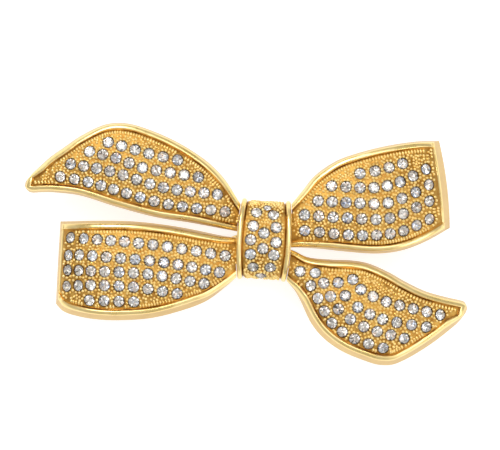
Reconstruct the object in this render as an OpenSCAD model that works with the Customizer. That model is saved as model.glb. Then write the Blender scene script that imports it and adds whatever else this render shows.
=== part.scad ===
// Rhinestone bow hair clip: four cast ribbon pieces and a knot band set with round stones,
// on a snap clasp with a hinged arm, a tension bar and a squeeze catch.
// The bow lies face up (+Z) with its long side along X. The origin is under the knot, on the arm's face.

/* [Stones] */
// Diameter of a set stone
stone_d = 2.1; // [1.9:0.05:2.15]
// Diameter of the small filler stone at the top of the knot
small_stone_d = 1.5; // [1.2:0.1:1.8]
// Gap between a stone and its seat
seat_gap = 0.04; // [0.03:0.01:0.08]

/* [Ribbon castings] */
// Thickness of the cast ribbon under its field
shell_t = 1.5; // [1.4:0.1:1.8]
// Depth of the outer wall below the field
wall_depth = 2; // [1.8:0.1:2.2]
// Width of the polished rim
rim_w = 1.05; // [0.8:0.05:1.2]
// Height of the polished rim above the field
rim_h = 0.45; // [0.3:0.05:0.6]

/* [Knot] */
// Half length of the arched knot band
knot_r = 7.7; // [7.5:0.1:7.8]
// Rise of the knot's arch above its centre
knot_h = 6.4; // [6.3:0.1:6.6]
// Half width of the knot band at its middle
knot_half_w = 5.2; // [5:0.1:5.2]
// Lean of the knot band to the right
knot_lean = 3.7; // [3:0.1:4.5]

/* [Clasp] */
// Direction of the clasp behind the bow
clasp_angle = 21; // [19:1:23]
// Length of the base plate
plate_l = 63; // [63:0.5:65]
// Width of the base plate
plate_w = 4.8; // [4.7:0.1:5]
// Thickness of the base plate and of the arm
strip_t = 0.8; // [0.7:0.05:0.8]
// Height of the base plate's underside above the arm's face
plate_z = 8.6; // [8.6:0.1:8.8]
// Bow of the tension bar
bar_bow = 2.2; // [1.8:0.1:2.2]
// Radius of the hinge pin
pin_r = 0.6; // [0.55:0.05:0.65]
// Radius of the tension bar's pin and of the catch pin
small_pin_r = 0.45; // [0.4:0.05:0.5]
// Radial clearance of every pin
pin_gap = 0.03; // [0.02:0.01:0.05]

/* [Hidden] */
$fn = 48;
plate_top = plate_z + strip_t;
knot_z = plate_top - 0.3;
// The clasp is set off the knot's centre, under the bow's centre of mass
clasp_shift = 0.4;
// Half width that the knot band loses by its lower ends
knot_taper = 0.5;
// Growth of the knot's arch at its shoulders
knot_shoulder = 0.08;
// Gap between a ribbon's root and the knot's side
root_gap = 0.03;
// Depth of a ribbon's wall where it leaves the knot
root_wall_depth = 1.45;
// Lengths out from the root over which the wall, the crown and the bend reach their full form
wall_run = 8;
crown_run = 10;
bend_run = 6;
// Width at which a ribbon has its full crown
crown_w = 10;
// Width of the flat lip around the hollow back, and of the slope inside it
lip_w = 0.9;
lip_slope_w = 0.3;

// ---- Smooth curves through a few points ----

// Slope of the curve at point i of p
function slope(p, i) =
    let (a = max(i - 1, 0), b = min(i + 1, len(p) - 1))
    (p[b][1] - p[a][1]) / (p[b][0] - p[a][0]);

// Span of p that holds x
function span(p, x, i = 0) = i >= len(p) - 2 || x < p[i + 1][0] ? i : span(p, x, i + 1);

// Height at x of the smooth curve through the points p
function curve(p, x) =
    let (
        i = span(p, x),
        step = p[i + 1][0] - p[i][0],
        t = (x - p[i][0]) / step,
        a = p[i][1],
        b = p[i + 1][1],
        ma = slope(p, i) * step,
        mb = slope(p, i + 1) * step
    )
    a + t * (ma + t * (3 * (b - a) - 2 * ma - mb + t * (2 * (a - b) + ma + mb)));

function mix(a, b, t) = a + (b - a) * t;
function clamp(x, low, high) = min(max(x, low), high);
function turned(p, angle) = [
    p[0] * cos(angle) - p[1] * sin(angle),
    p[0] * sin(angle) + p[1] * cos(angle)
];

// ---- The four ribbon pieces ----
// Each is drawn in its own frame: u runs out from the knot, v across it.
// A piece is [direction, low edge, high edge, edge height along u, [crown at the root, crown],
// [root u, end u], knot side, [knot y at the low edge, at the high edge],
// wall flare [low, high, end], tip radius, bulge of the end].

DIRECTION = 0;
LOW = 1;
HIGH = 2;
SPINE = 3;
CROWN = 4;
REACH = 5;
SIDE = 6;
ROOT_Y = 7;
FLARE = 8;
TIP = 9;
BULGE = 10;

TAIL_UPPER_LEFT = [
    167.3,
    [[4, -4.6], [6.3, -6.55], [10, -9.8], [14, -12.3], [20, -14.5], [26, -15.7], [30.5, -15.9],
        [34.3, -14.8], [38.3, -11.75], [41, -8.9], [43.2, -6.5], [44.6, -4.55], [45.7, -3], [46.8, -1.7]],
    [[4, -0.5], [14, -0.15], [21, 0.3], [29, 0], [36, -0.55], [41, -0.05], [43.5, 0.5], [45, 0.9],
        [46.8, 0.9]],
    [[5, 10.9], [12, 12.3], [20, 13.2], [28, 13.2], [36, 12], [42, 10.4], [46.8, 8.8]],
    [2.2, 1.6],
    [5.2, 46.8],
    -1,
    [6.5, 1.3],
    [0.25, 0.35, 0.3],
    1.4,
    0
];

LOOP_LOWER_LEFT = [
    176.8,
    [[4, -0.1], [8, -0.4], [14, -1.3], [19, -1.85], [25, -2.15], [31, -1.95], [39, -1.35]],
    [[4.1, 7.4], [6.3, 9.2], [10.3, 12.2], [14.3, 14.05], [20.3, 15.95], [26.3, 16.75], [31, 16.85],
        [35, 16.4], [37.6, 15.65], [39, 14.4]],
    [[4, 10.9], [12, 12.4], [20, 13.4], [28, 13], [32.5, 11.9], [35, 10.7], [37.3, 9], [39, 7.2]],
    [2.4, 1.5],
    [4.6, 39],
    -1,
    [0.15, -7.4],
    [0.5, 0.95, 0.4],
    0,
    0
];

LOOP_UPPER_RIGHT = [
    7,
    [[4.5, -2.05], [6.2, -2.2], [10, -2.9], [15, -4.05], [20, -5.05], [23.5, -5.3], [27, -4.97], [31, -3.87],
        [35.5, -2.05]],
    [[4.5, 5.6], [6.2, 6.8], [8.2, 8.4], [11.2, 11.05], [15.2, 13.15], [19.2, 14.15], [25, 14.9],
        [31, 15.1], [35.5, 14.7]],
    [[4, 10.9], [12, 12.4], [19, 13.2], [25, 13], [29, 12], [32, 10.8], [34, 9.5], [35.5, 8.1]],
    [2.4, 1.6],
    [5.3, 35.5],
    1,
    [-1.1, 7.2],
    [0.45, 0.3, 1.1],
    0,
    0.42
];

TAIL_LOWER_RIGHT = [
    -17,
    [[4, -5.8], [6.2, -6.75], [8.2, -7.65], [10.2, -9.3], [13.2, -12.5], [16.2, -14.5], [20.2, -15.85],
        [25, -16.35], [28.2, -16.25], [31.2, -14.95], [36.2, -9.7], [40.9, -3.05]],
    [[4, -0.1], [6.2, -0.2], [9, -0.65], [13.2, 0.15], [17, 1.15], [20.2, 1.55], [24.2, 1.12], [28.2, 0.25],
        [32.2, -0.33], [36.2, -0.27], [39, -0.05], [40.9, 0]],
    [[4, 10.9], [12, 12.4], [19, 13.3], [26, 12.9], [33, 11.3], [40.9, 8.85]],
    [2.2, 2],
    [5.7, 40.9],
    1,
    [-7.4, -1.5],
    [0.9, 0.35, 0.4],
    1.3,
    0
];

function spread(lobe, u) = curve(lobe[HIGH], u) - curve(lobe[LOW], u);

// Half width lost to the round tip, as a share of the whole
function tip_share(lobe, u) =
    let (r = lobe[TIP], q = r == 0 ? 0 : clamp((u - lobe[REACH][1] + r) / r, 0, 0.97))
    sqrt(1 - q * q);

function low_edge(lobe, u) =
    let (middle = (curve(lobe[LOW], u) + curve(lobe[HIGH], u)) / 2)
    middle - spread(lobe, u) / 2 * tip_share(lobe, u);

function high_edge(lobe, u) = low_edge(lobe, u) + spread(lobe, u) * tip_share(lobe, u);

// How far u has come from the root over the given length, from 0 to 1
function from_root(lobe, u, length) = clamp((u - lobe[REACH][0]) / length, 0, 1);

// Height of the ribbon's field at u, v
function field(lobe, u, v) =
    let (
        low = curve(lobe[LOW], u),
        high = curve(lobe[HIGH], u),
        t = clamp((v - low) / (high - low), 0, 1),
        full = mix(lobe[CROWN][0], lobe[CROWN][1], from_root(lobe, u, crown_run)),
        crown = full * min(1, (high - low) / crown_w)
    )
    curve(lobe[SPINE], u) + crown * (1 - pow(2 * t - 1, 2));

// Foot of the outer wall below the edge's field
function wall_foot(lobe, u) = mix(root_wall_depth, wall_depth, from_root(lobe, u, wall_run));

// Half width of the knot band at height y of its own frame
function knot_half(y) = knot_half_w - knot_taper * pow(y / knot_r, 2);

// Point of the root's edge, on the knot's side, for t from the low edge to the high one
function root_point(lobe, t) =
    let (y = mix(lobe[ROOT_Y][0], lobe[ROOT_Y][1], t))
    turned([lobe[SIDE] * (knot_half(y) + root_gap), y], -knot_lean - lobe[DIRECTION]);

// Rim's section, in from the wall's top: [distance, share of the rim's height]
rim_steps = [[0, 0.2], [0.25, 1], [0.8, 1], [rim_w + 0.05, 0]];
// Columns across the field, and the length of its rows
field_columns = 6;
row_l = 2;
// Least width across a ribbon, so that the two rims never meet at a tip
least_w = 2 * rim_w + 0.6;

// Shift that bends the first rows onto the knot's side
function root_shift(lobe, u, t) =
    let (start = lobe[REACH][0], fade = pow(1 - from_root(lobe, u, bend_run), 2))
    fade * (root_point(lobe, t) - [start, mix(low_edge(lobe, start), high_edge(lobe, start), t)]);

// Shift that bulges the last rows outwards
function end_shift(lobe, u, t) =
    let (fade = clamp(1 - (lobe[REACH][1] - u) / bend_run, 0, 1))
    [lobe[BULGE] * fade * fade * 4 * t * (1 - t), 0];

// A point of the ribbon at u and at t across it, dz above the field
function ribbon_point(lobe, u, t, dz) =
    let (
        plain = [u, mix(low_edge(lobe, u), high_edge(lobe, u), t)],
        p = plain + root_shift(lobe, u, t) + end_shift(lobe, u, t)
    )
    [p[0], p[1], field(lobe, u, p[1]) + dz];

// Share of the width that a distance from an edge takes
function share(lobe, u, edge, d) =
    let (
        w = spread(lobe, u) * tip_share(lobe, u),
        lean = slope_at(lobe[edge], u),
        reach = lobe[FLARE][0] + lobe[FLARE][1] + least_w
    )
    d * sqrt(1 + lean * lean) / max(w, reach * sqrt(1 + lean * lean));

function slope_at(p, x) = (curve(p, x + 0.1) - curve(p, x - 0.1)) / 0.2;

// Columns of the top side at u: [t, height above the field, 1 at the wall's foot]
function top_columns(lobe, u) =
    let (
        flare_in = from_root(lobe, u, wall_run),
        a = lobe[FLARE][0] * flare_in,
        b = lobe[FLARE][1] * flare_in,
        first = share(lobe, u, LOW, a + rim_steps[3][0]),
        last = 1 - share(lobe, u, HIGH, b + rim_steps[3][0])
    )
    concat(
        [[0, 0, 1]],
        [for (s = rim_steps) [share(lobe, u, LOW, a + s[0]), s[1] * rim_h, 0]],
        [for (k = [1:field_columns - 2]) [mix(first, last, k / (field_columns - 1)), 0, 0]],
        [for (k = [3:-1:0]) [1 - share(lobe, u, HIGH, b + rim_steps[k][0]), rim_steps[k][1] * rim_h, 0]],
        [[1, 0, 1]]
    );

// Rows of the top side: [u, rim height, 1 at the wall's foot]. A tail's rim runs round its tip,
// and a loop has no rim across its end, where the field rolls over.
function top_rows(lobe) =
    let (
        start = lobe[REACH][0],
        end = lobe[REACH][1],
        rise = lobe[TIP] == 0 ? [-0.35, -0.1, 0] : [for (k = [0:2]) rim_steps[k][1]],
        field_end = end - lobe[FLARE][2] - rim_steps[3][0],
        count = round((field_end - start) / row_l)
    )
    concat(
        [for (i = [0:count]) [mix(start, field_end, i / count), 0, 0]],
        [for (k = [2:-1:0]) [end - lobe[FLARE][2] - rim_steps[k][0], rise[k] * rim_h, 0]],
        [[end, 0, 1]]
    );

function top_grid(lobe) = [
    for (row = top_rows(lobe)) [
        for (column = top_columns(lobe, row[0]))
            let (
                foot = max(row[2], column[2]),
                height = row[1] > 0 ? max(row[1], column[1]) : row[1] + column[1]
            )
            ribbon_point(lobe, row[0], column[0], foot == 1 ? -wall_foot(lobe, row[0]) : height)
    ]
];

// The hollow back: a flat lip around the edge, then the underside of the field
function back_grid(lobe) =
    let (rows = top_rows(lobe), columns = len(top_columns(lobe, rows[0][0])), n = len(rows) - 1)
    [
        for (i = [0:n])
            let (
                start = lobe[REACH][0],
                end = lobe[REACH][1] - lip_w,
                u = i == n ? end : mix(start, end - lip_slope_w, i / (n - 1)),
                a = share(lobe, u, LOW, lip_w),
                b = 1 - share(lobe, u, HIGH, lip_w)
            )
            [
                for (j = [0:columns - 1])
                    let (
                        edge = j == 0 || j == columns - 1 || i == n,
                        inner_a = a + share(lobe, u, LOW, lip_slope_w),
                        inner_b = b - share(lobe, u, HIGH, lip_slope_w),
                        t = j == 0 ? a : j == columns - 1 ? b : mix(inner_a, inner_b, (j - 1) / (columns - 3))
                    )
                    ribbon_point(lobe, u, t, edge ? -wall_foot(lobe, u) : -shell_t)
            ]
    ];

// Triangles between two grids of the same size, closed all round
module skin(top, back) {
    rows = len(top);
    columns = len(top[0]);
    size = rows * columns;
    points = concat([for (row = top) each row], [for (row = back) each row]);
    function at(i, j) = i * columns + j;
    function quad(a, b, c, d) = [[a, b, c], [a, c, d]];
    faces = concat(
        [for (i = [0:rows - 2], j = [0:columns - 2])
            each quad(at(i, j), at(i, j + 1), at(i + 1, j + 1), at(i + 1, j))],
        [for (i = [0:rows - 2], j = [0:columns - 2])
            each quad(size + at(i, j), size + at(i + 1, j), size + at(i + 1, j + 1), size + at(i, j + 1))],
        [for (i = [0:rows - 2])
            each quad(at(i, 0), at(i + 1, 0), size + at(i + 1, 0), size + at(i, 0))],
        [for (i = [0:rows - 2])
            each quad(at(i + 1, columns - 1), at(i, columns - 1),
                size + at(i, columns - 1), size + at(i + 1, columns - 1))],
        [for (j = [0:columns - 2])
            each quad(at(0, j + 1), at(0, j), size + at(0, j), size + at(0, j + 1))],
        [for (j = [0:columns - 2])
            each quad(at(rows - 1, j), at(rows - 1, j + 1),
                size + at(rows - 1, j + 1), size + at(rows - 1, j))]
    );
    polyhedron(points, faces, convexity = 10);
}

// ---- Stones ----
// A row is a list of [stone number, u, v]: the stones between follow a smooth curve.

TAIL_UPPER_LEFT_ROWS = [
    [[0, 8.4, -3.6], [4, 19.2, -2.6], [7, 27.4, -2.9], [10, 35, -3.4], [12, 40.4, -3.2]],
    [[0, 10.5, -6.5], [4, 20.8, -5.5], [8, 31.4, -6.3], [11, 39, -6]],
    [[0, 14.8, -8.9], [4, 25.5, -8.3], [6, 30.8, -9], [8, 36, -9.1]],
    [[0, 19.3, -11.2], [2, 24.9, -11.2], [5, 32.9, -11.6]]
];
LOOP_LOWER_LEFT_ROWS = [
    [[0, 7.2, 3.4], [4, 18.2, 2.3], [7, 26.4, 1.8], [11, 36.8, 1.6]],
    [[0, 8.1, 6.6], [4, 18.7, 5.3], [8, 29.7, 4.9], [10, 34.9, 4.8], [11, 37, 5]],
    [[0, 10.9, 8.9], [4, 21.6, 7.7], [8, 32.5, 7.7], [10, 37, 7.8]],
    [[0, 15.9, 11.1], [3, 24.2, 10.3], [6, 32.4, 10.4], [8, 37, 10.9]],
    [[0, 24, 13.1], [3, 32.5, 13.3]]
];
LOOP_UPPER_RIGHT_ROWS = [
    [[0, 7.9, 0.8], [3, 16, -1], [5, 21.3, -1.7], [7, 26.5, -1.5], [9, 31.7, 0.1]],
    [[0, 8.2, 3.8], [3, 16.2, 2.2], [6, 24.2, 1.2], [9, 32.1, 3.5]],
    [[0, 11.1, 6.1], [3, 18.9, 4.7], [5, 24.2, 4.1], [7, 29.7, 5.5], [8, 32.4, 6.6]],
    [[0, 14, 8.6], [3, 21.9, 7.3], [5, 27, 7.8], [7, 32.2, 9.6]],
    [[0, 19.6, 10.3], [1, 22.5, 10.4], [3, 27.9, 11.2]]
];
TAIL_LOWER_RIGHT_ROWS = [
    [[0, 8.3, -3.7], [1, 11, -5.7], [2, 13, -7.6], [4, 16.9, -11.3], [6, 21.9, -12.9], [8, 27.6, -13]],
    [[0, 11.1, -3.1], [1, 13.2, -4.5], [3, 17.3, -8.4], [5, 22.9, -10.2], [8, 30.9, -10.1]],
    [[0, 15.8, -3.6], [1, 17.8, -5.6], [2, 20.7, -7], [4, 25.9, -7.8], [7, 34.3, -6.8]],
    [[0, 18.3, -2.2], [1, 20.3, -3.6], [3, 25.6, -4.4], [7, 36.2, -3.8]]
];
// On the knot a row is [stone number, x, angle over the arch] in the knot's own frame
KNOT_ROWS = [
    [[0, -1.75, 41], [1, -2.2, 19.7], [2, -2.55, -1], [3, -2.4, -22.5], [4, -1.75, -42.5]],
    [[0, -0.1, 10.3], [1, -0.1, -13], [2, -0.15, -62.5]],
    [[0, 1.5, 38.8], [1, 2.15, 19.6], [2, 2.3, -2.6], [3, 2.05, -21.4], [4, 1.5, -41.3]]
];
KNOT_SMALL_STONE = [0.25, 51.8];

// The stones of one row, as [u, v]
function stones_of(row) = [
    for (i = [0:row[len(row) - 1][0]])
        [curve([for (k = row) [k[0], k[1]]], i), curve([for (k = row) [k[0], k[2]]], i)]
];

table_share = 0.55;
crown_h = 0.4;
girdle_h = 0.08;
pavilion_share = 0.9;
girdle_sink = 0.08;

// One round stone with its table up, its girdle's foot at z = 0
module chaton(d) {
    r = d / 2;
    rotate_extrude()
        polygon([[0, -pavilion_share * r], [r, 0], [r, girdle_h], [table_share * r, girdle_h + crown_h],
            [0, girdle_h + crown_h]]);
}

// The seat that holds it, open at the top
module seat(d) {
    r = d / 2 + seat_gap;
    floor_z = -pavilion_share * d / 2 - 0.06;
    rotate_extrude()
        polygon([[0, floor_z], [0.15, floor_z], [r, -0.02], [r, 1.6], [0, 1.6]]);
}

// Places its children on a ribbon's field at p, square to it
module on_ribbon(lobe, p) {
    step = 0.2;
    dz_du = (field(lobe, p[0] + step, p[1]) - field(lobe, p[0] - step, p[1])) / (2 * step);
    dz_dv = (field(lobe, p[0], p[1] + step) - field(lobe, p[0], p[1] - step)) / (2 * step);
    rotate([0, 0, lobe[DIRECTION]])
        translate([p[0], p[1], field(lobe, p[0], p[1])])
            rotate([0, atan(norm([dz_du, dz_dv])), atan2(-dz_dv, -dz_du)])
                translate([0, 0, -girdle_sink])
                    children();
}

module ribbon_stones(lobe, row) {
    color("aliceblue")
        for (p = stones_of(row))
            on_ribbon(lobe, p) chaton(stone_d);
}

// Point [y, z] of the knot's arch at an angle from its top, set in by d
function arch(angle, d) =
    let (grown = 1 + knot_shoulder * pow(sin(2 * angle), 2))
    grown * [(knot_r - d) * sin(angle), (knot_h - d) * cos(angle)];

// Tilt of the arch's field at an angle from its top
function arch_tilt(angle) =
    let (a = arch(angle - 1, rim_h), b = arch(angle + 1, rim_h))
    atan2(a[1] - b[1], b[0] - a[0]);

// Places its children on the knot's field at p, square to it
module on_knot(p) {
    place = arch(p[1], rim_h);
    rotate([0, 0, -knot_lean])
        translate([p[0], place[0], knot_z + place[1]])
            rotate([-arch_tilt(p[1]), 0, 0])
                translate([0, 0, -girdle_sink])
                    children();
}

module knot_stones(row) {
    color("aliceblue")
        for (p = stones_of(row))
            on_knot(p) chaton(stone_d);
}

module knot_small_stone() {
    color("aliceblue") on_knot(KNOT_SMALL_STONE) chaton(small_stone_d);
}

// A rivet's place on the clasp's line
rivet_x = 18.5;
rivet_r = 0.8;
boss_r = 1.9;

module ribbon(lobe, rows, boss_x) {
    color("goldenrod")
        difference() {
            union() {
                rotate([0, 0, lobe[DIRECTION]])
                    skin(top_grid(lobe), back_grid(lobe));
                if (boss_x != 0)
                    in_clasp()
                        translate([boss_x, 0, plate_top])
                            cylinder(r = boss_r, h = 4.2);
            }
            for (row = rows)
                for (p = stones_of(row))
                    on_ribbon(lobe, p) seat(stone_d);
            if (boss_x != 0)
                in_clasp()
                    translate([boss_x, 0, plate_top - 1])
                        cylinder(r = rivet_r + pin_gap, h = 3.2);
        }
}

module tail_upper_left() ribbon(TAIL_UPPER_LEFT, TAIL_UPPER_LEFT_ROWS, 0);
module loop_lower_left() ribbon(LOOP_LOWER_LEFT, LOOP_LOWER_LEFT_ROWS, -rivet_x);
module loop_upper_right() ribbon(LOOP_UPPER_RIGHT, LOOP_UPPER_RIGHT_ROWS, rivet_x);
module tail_lower_right() ribbon(TAIL_LOWER_RIGHT, TAIL_LOWER_RIGHT_ROWS, 0);

// ---- Knot band ----

knot_steps = 20;
// The arch stops where it meets the base plate, 0.3 above its own centre
knot_base_angle = acos((plate_top - knot_z) / knot_h);
knot_shell_t = 2.4;

// Profile across the band: [share of the half width, height below the rim's top]
function knot_profile() =
    let (
        half = [[1, -0.6], [0.98, -0.15], [0.9, 0], [0.82, 0], [0.76, -rim_h], [0.4, -rim_h]]
    )
    concat(
        [for (p = half) [-p[0], p[1]]],
        [for (k = [len(half) - 1:-1:0]) half[k]]
    );

// Point of the knot at a share of its half width, an angle from its top, and set in by d
function knot_point(across, angle, d) =
    let (place = arch(angle, d))
    [across * knot_half(place[0]), place[0], place[1]];

module knot_shell() {
    profile = knot_profile();
    top = [for (i = [0:knot_steps])
        let (angle = mix(knot_base_angle, -knot_base_angle, i / knot_steps))
        [for (p = profile) knot_point(p[0], angle, -p[1])]];
    back = [for (i = [0:knot_steps])
        let (angle = mix(knot_base_angle, -knot_base_angle, i / knot_steps))
        [for (p = profile) knot_point(p[0], angle, knot_shell_t)]];
    translate([0, 0, knot_z]) skin(top, back);
}

module knot_band() {
    color("goldenrod")
        difference() {
            rotate([0, 0, -knot_lean])
                union() {
                    knot_shell();
                    // Foot that stands on the base plate
                    translate([-3, -5, plate_top])
                        cube([6, 10, 2.2]);
                    translate([-3, -3, plate_top])
                        cube([6, 6, 5]);
                }
            for (row = KNOT_ROWS)
                for (p = stones_of(row))
                    on_knot(p) seat(stone_d);
            on_knot(KNOT_SMALL_STONE) seat(small_stone_d);
        }
}

// ---- Clasp: drawn along x in its own frame ----

module in_clasp() {
    rotate([0, 0, clasp_angle]) translate([0, clasp_shift, 0]) children();
}

hinge_x = -plate_l / 2 + 2.5;
hinge_z = 1.35;
ear_t = 0.6;
knuckle_w = 3.5;
lug_t = 0.55;
bar_pin_x = hinge_x + 4.5;
bar_pin_z = 7.5;
bar_eye_r = 0.85;
bar_end_x = 22;
catch_x = 28;
catch_z = 7.6;
prong_w = 3;

// A cylinder along y, centred
module pin_y(r, w) rotate([90, 0, 0]) cylinder(r = r, h = w, center = true);
// A cylinder along x, centred
module pin_x(r, w) rotate([0, 90, 0]) cylinder(r = r, h = w, center = true);

// A strip with round ends, from x0 to x1
module strip(x0, x1, w, t) {
    linear_extrude(height = t)
        union() {
            translate([x0 + w / 2, -w / 2]) square([x1 - x0 - w, w]);
            translate([x0 + w / 2, 0]) circle(d = w);
            translate([x1 - w / 2, 0]) circle(d = w);
        }
}

// A hanging ear with a round foot about its pin hole
module ear(x, z, foot_r, side, inner_y, t, hole_r) {
    y = side * (inner_y + t / 2);
    difference() {
        union() {
            translate([x - foot_r, y - t / 2, z]) cube([2 * foot_r, t, plate_z - z + 0.1]);
            translate([x, y, z]) pin_y(foot_r, t);
        }
        translate([x, y, z]) pin_y(hole_r, 2 * t);
    }
}

module base_plate() {
    color("silver") in_clasp()
        difference() {
            union() {
                translate([0, 0, plate_z])
                    strip(-plate_l / 2, plate_l / 2, plate_w, strip_t);
                for (side = [-1, 1]) {
                    ear(hinge_x, hinge_z, 1.2, side, knuckle_w / 2 + 0.1, ear_t, pin_r + pin_gap);
                    ear(bar_pin_x, bar_pin_z, 0.9, side, 1.65, lug_t, small_pin_r + pin_gap);
                }
                for (side = [-1, 1])
                    translate([catch_x + side * (prong_w / 2 + 0.15 + lug_t / 2), 0, 0])
                        difference() {
                            union() {
                                translate([-lug_t / 2, -0.9, catch_z])
                                    cube([lug_t, 1.8, plate_z - catch_z + 0.1]);
                                translate([0, 0, catch_z]) pin_x(0.9, lug_t);
                            }
                            translate([0, 0, catch_z]) pin_x(small_pin_r + pin_gap, 2 * lug_t);
                        }
            }
            for (side = [-1, 1])
                translate([side * rivet_x, 0, plate_z - 1])
                    cylinder(r = rivet_r + pin_gap, h = strip_t + 2);
        }
}

module rivet(x) {
    color("silver") in_clasp()
        translate([x, 0, plate_z])
            union() {
                cylinder(r = rivet_r, h = strip_t + 1.9);
                intersection() {
                    translate([0, 0, 1.6]) sphere(r = 2.2);
                    translate([-2, -2, -2]) cube([4, 4, 2]);
                }
            }
}

module rivet_left() rivet(-rivet_x);
module rivet_right() rivet(rivet_x);

module hinge_pin() {
    color("silver") in_clasp()
        translate([hinge_x, 0, hinge_z]) pin_y(pin_r, knuckle_w + 0.2 + 2 * ear_t + 0.1);
}

module tension_bar_pin() {
    color("silver") in_clasp()
        translate([bar_pin_x, 0, bar_pin_z]) pin_y(small_pin_r, 3.3 + 2 * lug_t + 0.1);
}

module catch_pin() {
    color("silver") in_clasp()
        translate([catch_x, 0, catch_z]) pin_x(small_pin_r, prong_w + 0.3 + 2 * lug_t + 0.1);
}

window_x0 = 26.2;
window_x1 = 29.8;
window_half = 1.75;
arm_end_z = 1.6;
arm_end_x = 31.4;
arm_half_w = plate_w / 2;

module clasp_arm() {
    color("silver") in_clasp()
        difference() {
            union() {
                translate([hinge_x, 0, hinge_z]) pin_y(hinge_z, knuckle_w);
                translate([hinge_x, -knuckle_w / 2 + 0.05, 0]) cube([3, knuckle_w - 0.1, strip_t]);
                translate([hinge_x + 2.2, -arm_half_w, 0]) cube([23.6 - hinge_x - 2.2, plate_w, strip_t]);
                // Crank up to the catch window
                translate([0, plate_w / 2, 0])
                    rotate([90, 0, 0])
                        linear_extrude(height = plate_w)
                            polygon([[23.6, 0], [25.4, arm_end_z], [25.4, arm_end_z + strip_t],
                                [25, arm_end_z + strip_t], [23.2, strip_t], [23.2, 0]]);
                translate([25.3, -2.7, arm_end_z]) cube([arm_end_x - 25.3, 5.4, strip_t]);
            }
            translate([window_x0, -window_half, 0]) cube([window_x1 - window_x0, 2 * window_half, 5]);
            translate([hinge_x, 0, hinge_z]) pin_y(pin_r + pin_gap, knuckle_w + 1);
        }
}

bar_w = 4;
bar_t = 0.4;

module tension_bar() {
    half = (bar_end_x - bar_pin_x) / 2;
    middle_x = (bar_end_x + bar_pin_x) / 2;
    arc_r = (half * half / bar_bow + bar_bow) / 2;
    color("silver") in_clasp()
        difference() {
            union() {
                translate([bar_pin_x, 0, bar_pin_z]) pin_y(bar_eye_r, 3.1);
                intersection() {
                    translate([middle_x, 0, bar_pin_z - bar_bow + arc_r])
                        difference() {
                            cylinder_y(arc_r + bar_t / 2);
                            cylinder_y(arc_r - bar_t / 2);
                        }
                    union() {
                        translate([bar_pin_x, -1.55, 0]) cube([3, 3.1, plate_z]);
                        translate([bar_pin_x + 2, -bar_w / 2, 0]) cube([2 * half - 2, bar_w, plate_z]);
                    }
                }
            }
            translate([bar_pin_x, 0, bar_pin_z]) pin_y(small_pin_r + pin_gap, 5);
        }
}

module cylinder_y(r) rotate([90, 0, 0]) cylinder(r = r, h = 2 * bar_w, center = true, $fn = 200);

leg_y = 0.95;
leg_t = 0.5;
barb_y = window_half - 0.05;

// One squeeze prong: its eye takes half of the pin, its leg goes down through the arm's window
module prong(side) {
    color("silver") in_clasp()
        translate([catch_x, 0, 0])
            mirror([0, side < 0 ? 1 : 0, 0])
                difference() {
                    union() {
                        translate([side * prong_w / 4, 0, catch_z]) pin_x(0.8, prong_w / 2 - 0.1);
                        translate([side * prong_w / 4 - prong_w / 4 + 0.05, 0, catch_z - 0.8])
                            cube([prong_w / 2 - 0.1, leg_y + leg_t, 0.7]);
                        translate([-prong_w / 2, leg_y, 0.9]) cube([prong_w, leg_t, catch_z - 1]);
                        // Barb under the window's edge
                        translate([-prong_w / 2, 0, 0])
                            rotate([90, 0, 90])
                                linear_extrude(height = prong_w)
                                    polygon([[leg_y, 0.5], [leg_y + leg_t - 0.1, 0.5], [barb_y, 1.2],
                                        [barb_y, 1.5], [leg_y + leg_t, 1.5], [leg_y, 1.5]]);
                        // Finger tab
                        translate([-prong_w / 2, leg_y, 3.4]) cube([prong_w, 3.2, 0.6]);
                        translate([-prong_w / 2, leg_y + 2.7, 3.4]) cube([prong_w, 0.5, 2]);
                    }
                    translate([0, 0, catch_z]) pin_x(small_pin_r + pin_gap, 2 * prong_w);
                }
}

module catch_prong_upper() prong(1);
module catch_prong_lower() prong(-1);

module stone_rows(name, lobe, rows) {
    for (i = [1:len(rows)])
        ribbon_stones(lobe, rows[i - 1]);
}

tail_upper_left();
loop_lower_left();
loop_upper_right();
tail_lower_right();
knot_band();
stone_rows("tail_upper_left", TAIL_UPPER_LEFT, TAIL_UPPER_LEFT_ROWS);
stone_rows("loop_lower_left", LOOP_LOWER_LEFT, LOOP_LOWER_LEFT_ROWS);
stone_rows("loop_upper_right", LOOP_UPPER_RIGHT, LOOP_UPPER_RIGHT_ROWS);
stone_rows("tail_lower_right", TAIL_LOWER_RIGHT, TAIL_LOWER_RIGHT_ROWS);
for (i = [1:3])
    knot_stones(KNOT_ROWS[i - 1]);
knot_small_stone();
base_plate();
hinge_pin();
clasp_arm();
tension_bar();
tension_bar_pin();
catch_pin();
catch_prong_upper();
catch_prong_lower();
rivet_left();
rivet_right();
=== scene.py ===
"""Looks of the rhinestone bow hair clip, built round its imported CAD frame.

Lengths are in millimetres until a mesh is made, which is in metres. The ribbon shapes are the
CAD's own: each is drawn in its own frame, with u running out from the knot and v across it.
"""
import math

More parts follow.
